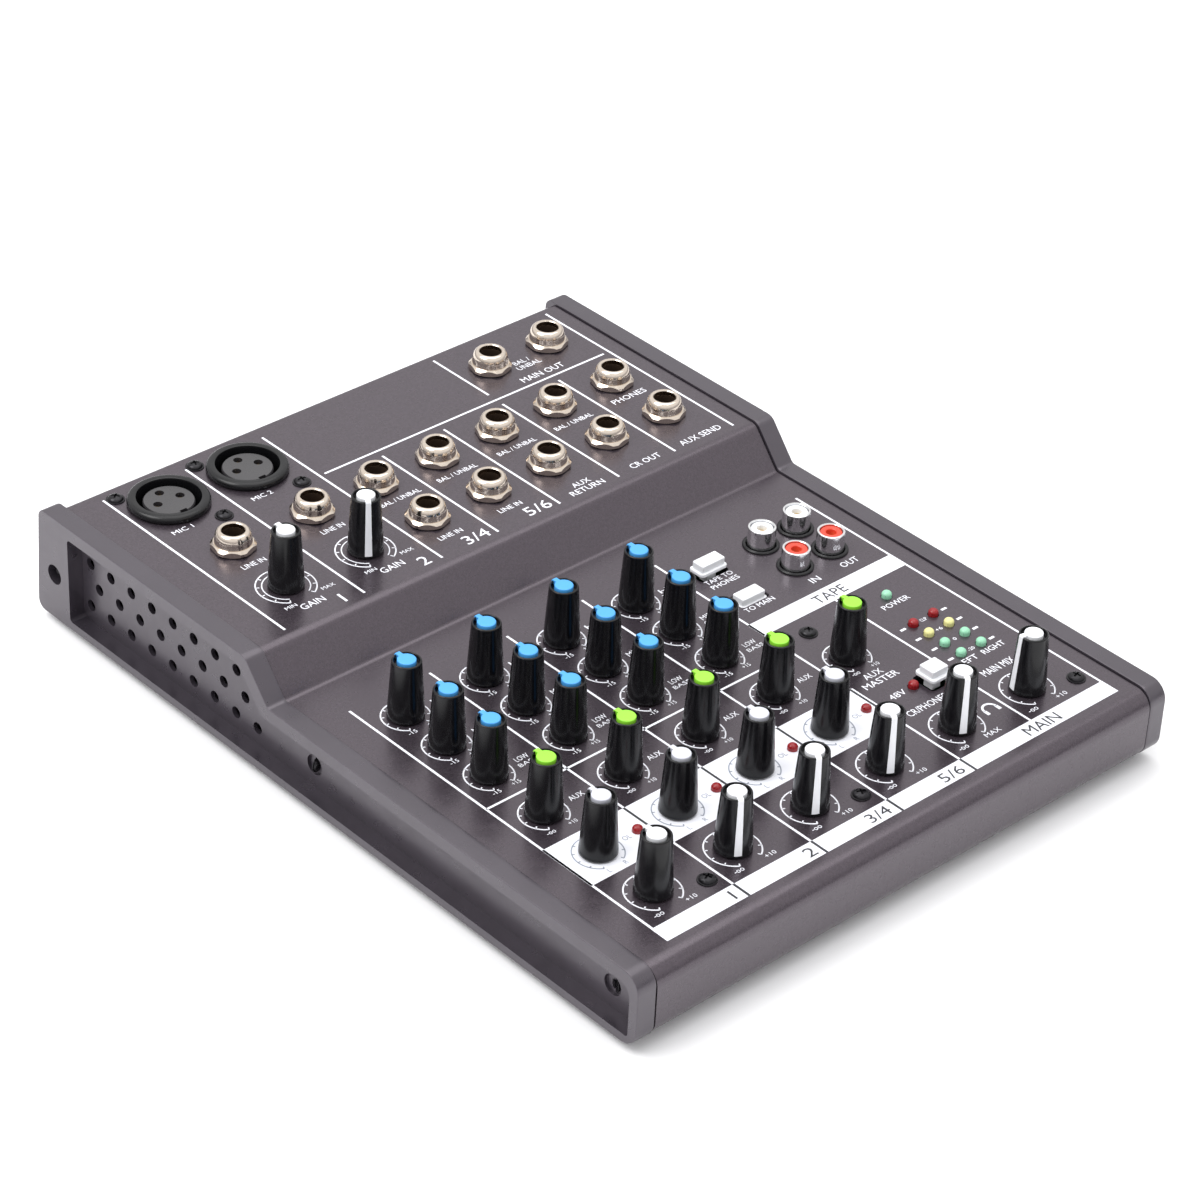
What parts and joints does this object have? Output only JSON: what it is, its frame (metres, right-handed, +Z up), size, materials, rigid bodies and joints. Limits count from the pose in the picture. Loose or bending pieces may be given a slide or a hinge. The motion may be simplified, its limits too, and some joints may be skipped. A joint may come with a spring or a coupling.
{
  "type": "mixing console",
  "caption": "Compact desktop mixing console: two-level steel panel between moulded end cheeks, with turning knobs, push buttons, meter lamps, jack, microphone and phono sockets.",
  "frame": {"origin": "on the ground under the middle of the object, midway across its width and its depth", "axes": "+X to the right as the user sees it, +Y towards the rear panel, +Z up"},
  "size_m": [0.198, 0.252, 0.055],
  "materials": {
    "panel_paint": "satin fine-texture powder coat, dark warm grey",
    "cheek_plastic": "satin moulded, dark warm grey",
    "knob_plastic": "satin black moulded, coloured pointer inserts",
    "button_plastic": "smooth off-white",
    "jack_nickel": "bright warm nickel plate",
    "phono_metal": "bright plated barrels with coloured inserts",
    "socket_plastic": "black moulded",
    "circuit_board": "green solder mask",
    "foot_rubber": "matt black"
  },
  "bodies": {
    "housing": {"top_panel": "panel_paint", "base_tray": "panel_paint", "left_cheek": "cheek_plastic", "right_cheek": "cheek_plastic", "control_board": "circuit_board", "jack_board": "circuit_board", "phono_block": "phono_metal", "line_jack_ch1": "jack_nickel", "line_jack_ch2": "jack_nickel", "main_out_jack_left": "jack_nickel", "main_out_jack_right": "jack_nickel", "ch34_jack_left": "jack_nickel", "ch34_jack_right": "jack_nickel", "ch56_jack_left": "jack_nickel", "ch56_jack_right": "jack_nickel", "aux_return_jack_left": "jack_nickel", "aux_return_jack_right": "jack_nickel", "control_room_jack_left": "jack_nickel", "control_room_jack_right": "jack_nickel", "phones_jack": "jack_nickel", "aux_send_jack": "jack_nickel", "mic_socket_ch1": "socket_plastic", "mic_socket_ch2": "socket_plastic", "foot_front_left": "foot_rubber", "foot_rear_left": "foot_rubber", "foot_front_right": "foot_rubber", "foot_rear_right": "foot_rubber"},
    "gain_knob_ch1": {"gain_knob_ch1": "knob_plastic"},
    "gain_knob_ch2": {"gain_knob_ch2": "knob_plastic"},
    "hi_knob_ch1": {"hi_knob_ch1": "knob_plastic"},
    "mid_knob_ch1": {"mid_knob_ch1": "knob_plastic"},
    "low_knob_ch1": {"low_knob_ch1": "knob_plastic"},
    "aux_knob_ch1": {"aux_knob_ch1": "knob_plastic"},
    "pan_knob_ch1": {"pan_knob_ch1": "knob_plastic"},
    "level_knob_ch1": {"level_knob_ch1": "knob_plastic"},
    "hi_knob_ch2": {"hi_knob_ch2": "knob_plastic"},
    "mid_knob_ch2": {"mid_knob_ch2": "knob_plastic"},
    "low_knob_ch2": {"low_knob_ch2": "knob_plastic"},
    "aux_knob_ch2": {"aux_knob_ch2": "knob_plastic"},
    "pan_knob_ch2": {"pan_knob_ch2": "knob_plastic"},
    "level_knob_ch2": {"level_knob_ch2": "knob_plastic"},
    "hi_knob_ch34": {"hi_knob_ch34": "knob_plastic"},
    "mid_knob_ch34": {"mid_knob_ch34": "knob_plastic"},
    "low_knob_ch34": {"low_knob_ch34": "knob_plastic"},
    "aux_knob_ch34": {"aux_knob_ch34": "knob_plastic"},
    "pan_knob_ch34": {"pan_knob_ch34": "knob_plastic"},
    "level_knob_ch34": {"level_knob_ch34": "knob_plastic"},
    "hi_knob_ch56": {"hi_knob_ch56": "knob_plastic"},
    "mid_knob_ch56": {"mid_knob_ch56": "knob_plastic"},
    "low_knob_ch56": {"low_knob_ch56": "knob_plastic"},
    "aux_knob_ch56": {"aux_knob_ch56": "knob_plastic"},
    "pan_knob_ch56": {"pan_knob_ch56": "knob_plastic"},
    "level_knob_ch56": {"level_knob_ch56": "knob_plastic"},
    "aux_master_knob": {"aux_master_knob": "knob_plastic"},
    "phones_level_knob": {"phones_level_knob": "knob_plastic"},
    "main_level_knob": {"main_level_knob": "knob_plastic"},
    "line_select_button": {"line_select_button": "button_plastic"},
    "monitor_select_button": {"monitor_select_button": "button_plastic"},
    "phantom_power_button": {"phantom_power_button": "button_plastic"},
    "power_rocker": {"power_rocker": "socket_plastic"}
  },
  "joints": [
    {"name": "gain_ch1_turn", "type": "hinge", "parent": "housing", "child": "gain_knob_ch1", "pos_m": [-0.0686, 0.0504, 0.0363], "axis": [0, 0, 1], "range_deg": [-150, 150]},
    {"name": "gain_ch2_turn", "type": "hinge", "parent": "housing", "child": "gain_knob_ch2", "pos_m": [-0.0404, 0.0504, 0.0363], "axis": [0, 0, 1], "range_deg": [-300, 0]},
    {"name": "hi_ch1_turn", "type": "hinge", "parent": "housing", "child": "hi_knob_ch1", "pos_m": [-0.0717, -0.0047, 0.0246], "axis": [0, 0, 1], "range_deg": [-150, 150]},
    {"name": "mid_ch1_turn", "type": "hinge", "parent": "housing", "child": "mid_knob_ch1", "pos_m": [-0.0717, -0.0217, 0.0246], "axis": [0, 0, 1], "range_deg": [-150, 150]},
    {"name": "low_ch1_turn", "type": "hinge", "parent": "housing", "child": "low_knob_ch1", "pos_m": [-0.0717, -0.0387, 0.0246], "axis": [0, 0, 1], "range_deg": [-150, 150]},
    {"name": "aux_ch1_turn", "type": "hinge", "parent": "housing", "child": "aux_knob_ch1", "pos_m": [-0.0717, -0.0603, 0.0246], "axis": [0, 0, 1], "range_deg": [-150, 150]},
    {"name": "pan_ch1_turn", "type": "hinge", "parent": "housing", "child": "pan_knob_ch1", "pos_m": [-0.0717, -0.0812, 0.0246], "axis": [0, 0, 1], "range_deg": [-150, 150]},
    {"name": "level_ch1_turn", "type": "hinge", "parent": "housing", "child": "level_knob_ch1", "pos_m": [-0.0717, -0.1018, 0.0246], "axis": [0, 0, 1], "range_deg": [-150, 150]},
    {"name": "hi_ch2_turn", "type": "hinge", "parent": "housing", "child": "hi_knob_ch2", "pos_m": [-0.0437, -0.0047, 0.0246], "axis": [0, 0, 1], "range_deg": [-150, 150]},
    {"name": "mid_ch2_turn", "type": "hinge", "parent": "housing", "child": "mid_knob_ch2", "pos_m": [-0.0437, -0.0217, 0.0246], "axis": [0, 0, 1], "range_deg": [-150, 150]},
    {"name": "low_ch2_turn", "type": "hinge", "parent": "housing", "child": "low_knob_ch2", "pos_m": [-0.0437, -0.0387, 0.0246], "axis": [0, 0, 1], "range_deg": [-150, 150]},
    {"name": "aux_ch2_turn", "type": "hinge", "parent": "housing", "child": "aux_knob_ch2", "pos_m": [-0.0437, -0.0603, 0.0246], "axis": [0, 0, 1], "range_deg": [-150, 150]},
    {"name": "pan_ch2_turn", "type": "hinge", "parent": "housing", "child": "pan_knob_ch2", "pos_m": [-0.0437, -0.0812, 0.0246], "axis": [0, 0, 1], "range_deg": [-150, 150]},
    {"name": "level_ch2_turn", "type": "hinge", "parent": "housing", "child": "level_knob_ch2", "pos_m": [-0.0437, -0.1018, 0.0246], "axis": [0, 0, 1], "range_deg": [-300, 0]},
    {"name": "hi_ch34_turn", "type": "hinge", "parent": "housing", "child": "hi_knob_ch34", "pos_m": [-0.0157, -0.0047, 0.0246], "axis": [0, 0, 1], "range_deg": [-150, 150]},
    {"name": "mid_ch34_turn", "type": "hinge", "parent": "housing", "child": "mid_knob_ch34", "pos_m": [-0.0157, -0.0217, 0.0246], "axis": [0, 0, 1], "range_deg": [-150, 150]},
    {"name": "low_ch34_turn", "type": "hinge", "parent": "housing", "child": "low_knob_ch34", "pos_m": [-0.0157, -0.0387, 0.0246], "axis": [0, 0, 1], "range_deg": [-150, 150]},
    {"name": "aux_ch34_turn", "type": "hinge", "parent": "housing", "child": "aux_knob_ch34", "pos_m": [-0.0157, -0.0603, 0.0246], "axis": [0, 0, 1], "range_deg": [-150, 150]},
    {"name": "pan_ch34_turn", "type": "hinge", "parent": "housing", "child": "pan_knob_ch34", "pos_m": [-0.0157, -0.0812, 0.0246], "axis": [0, 0, 1], "range_deg": [-150, 150]},
    {"name": "level_ch34_turn", "type": "hinge", "parent": "housing", "child": "level_knob_ch34", "pos_m": [-0.0157, -0.1018, 0.0246], "axis": [0, 0, 1], "range_deg": [-300, 0]},
    {"name": "hi_ch56_turn", "type": "hinge", "parent": "housing", "child": "hi_knob_ch56", "pos_m": [0.0123, -0.0047, 0.0246], "axis": [0, 0, 1], "range_deg": [-150, 150]},
    {"name": "mid_ch56_turn", "type": "hinge", "parent": "housing", "child": "mid_knob_ch56", "pos_m": [0.0123, -0.0217, 0.0246], "axis": [0, 0, 1], "range_deg": [-150, 150]},
    {"name": "low_ch56_turn", "type": "hinge", "parent": "housing", "child": "low_knob_ch56", "pos_m": [0.0123, -0.0387, 0.0246], "axis": [0, 0, 1], "range_deg": [-150, 150]},
    {"name": "aux_ch56_turn", "type": "hinge", "parent": "housing", "child": "aux_knob_ch56", "pos_m": [0.0123, -0.0603, 0.0246], "axis": [0, 0, 1], "range_deg": [-150, 150]},
    {"name": "pan_ch56_turn", "type": "hinge", "parent": "housing", "child": "pan_knob_ch56", "pos_m": [0.0123, -0.0812, 0.0246], "axis": [0, 0, 1], "range_deg": [-150, 150]},
    {"name": "level_ch56_turn", "type": "hinge", "parent": "housing", "child": "level_knob_ch56", "pos_m": [0.0123, -0.1018, 0.0246], "axis": [0, 0, 1], "range_deg": [-300, 0]},
    {"name": "aux_master_turn", "type": "hinge", "parent": "housing", "child": "aux_master_knob", "pos_m": [0.0403, -0.0603, 0.0246], "axis": [0, 0, 1], "range_deg": [-150, 150]},
    {"name": "phones_level_turn", "type": "hinge", "parent": "housing", "child": "phones_level_knob", "pos_m": [0.0403, -0.1018, 0.0246], "axis": [0, 0, 1], "range_deg": [-300, 0]},
    {"name": "main_level_turn", "type": "hinge", "parent": "housing", "child": "main_level_knob", "pos_m": [0.0683, -0.1018, 0.0246], "axis": [0, 0, 1], "range_deg": [-225, 75]},
    {"name": "line_select_press", "type": "slide", "parent": "housing", "child": "line_select_button", "axis": [0, 0, 1], "range_m": [-0.0025, 0]},
    {"name": "monitor_select_press", "type": "slide", "parent": "housing", "child": "monitor_select_button", "axis": [0, 0, 1], "range_m": [0, 0.0025]},
    {"name": "phantom_power_press", "type": "slide", "parent": "housing", "child": "phantom_power_button", "axis": [0, 0, 1], "range_m": [-0.0025, 0]},
    {"name": "power_rock", "type": "hinge", "parent": "housing", "child": "power_rocker", "pos_m": [0.019, 0.1171, 0.0185], "axis": [1, 0, 0], "range_deg": [0, 14]}
  ]
}
